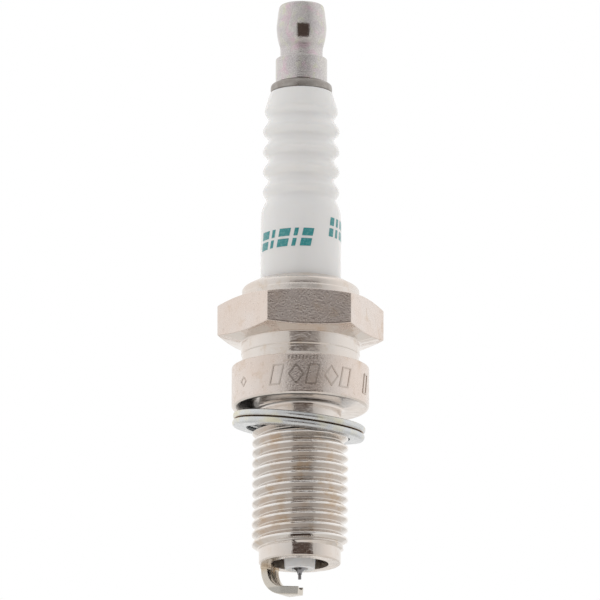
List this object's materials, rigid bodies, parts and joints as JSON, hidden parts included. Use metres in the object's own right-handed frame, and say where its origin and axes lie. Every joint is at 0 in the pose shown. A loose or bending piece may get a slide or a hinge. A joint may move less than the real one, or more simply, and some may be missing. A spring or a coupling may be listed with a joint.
{
  "type": "spark plug",
  "caption": "Motorcycle spark plug with ribbed ceramic insulator, hexagon shell, helical thread, hooked ground electrode, loose folded gasket and screw-on terminal nut.",
  "frame": {"origin": "on the plug's axis, level with the lowest point of the ground electrode; the gasket seat, the flat underside of the shell's collar, is 22.86 mm above it", "axes": "+Z along the plug's axis, towards the terminal; -Y out of one flat of the hexagon"},
  "size_m": [0.0206, 0.0178, 0.0725],
  "materials": {
    "nickel_plate": "nickel plating, bright where turned and satin with a fine pebble grain on the hexagon and collar",
    "zinc_plate": "satin zinc plating with a faint pink and green passivation",
    "gasket_zinc": "smooth zinc-plated sheet with a faint yellow-green edge",
    "glazed_alumina": "smooth white glaze with teal printed bars",
    "bare_steel": "dull grey turned steel",
    "nickel_alloy": "drawn nickel alloy, satin",
    "copper": "plain copper, hidden",
    "iridium": "dark grey fine wire",
    "conductive_glass": "fused copper-glass powder, hidden",
    "resistor_mix": "fused carbon-glass powder, hidden",
    "talc_powder": "pressed talc, hidden"
  },
  "bodies": {
    "plug": {"metal_shell": "nickel_plate", "ground_electrode": "nickel_alloy", "insulator": "glazed_alumina", "terminal_stud": "bare_steel", "upper_glass_seal": "conductive_glass", "resistor": "resistor_mix", "lower_glass_seal": "conductive_glass", "center_electrode": "nickel_alloy", "copper_core": "copper", "iridium_tip": "iridium", "upper_packing_ring": "bare_steel", "talc_packing": "talc_powder", "lower_packing_ring": "bare_steel", "inner_seat_washer": "copper"},
    "terminal_nut": {"terminal_nut": "zinc_plate"},
    "gasket": {"gasket": "gasket_zinc"}
  },
  "joints": [
    {"name": "terminal_nut_off", "type": "slide", "parent": "plug", "child": "terminal_nut", "axis": [0, 0, 1], "range_m": [0, 0.012]},
    {"name": "gasket_tilt", "type": "hinge", "parent": "plug", "child": "gasket", "pos_m": [-0.00531, 0.0059, 0.02275], "axis": [-0.7513, -0.66, 0], "range_deg": [0, 8.2]}
  ]
}
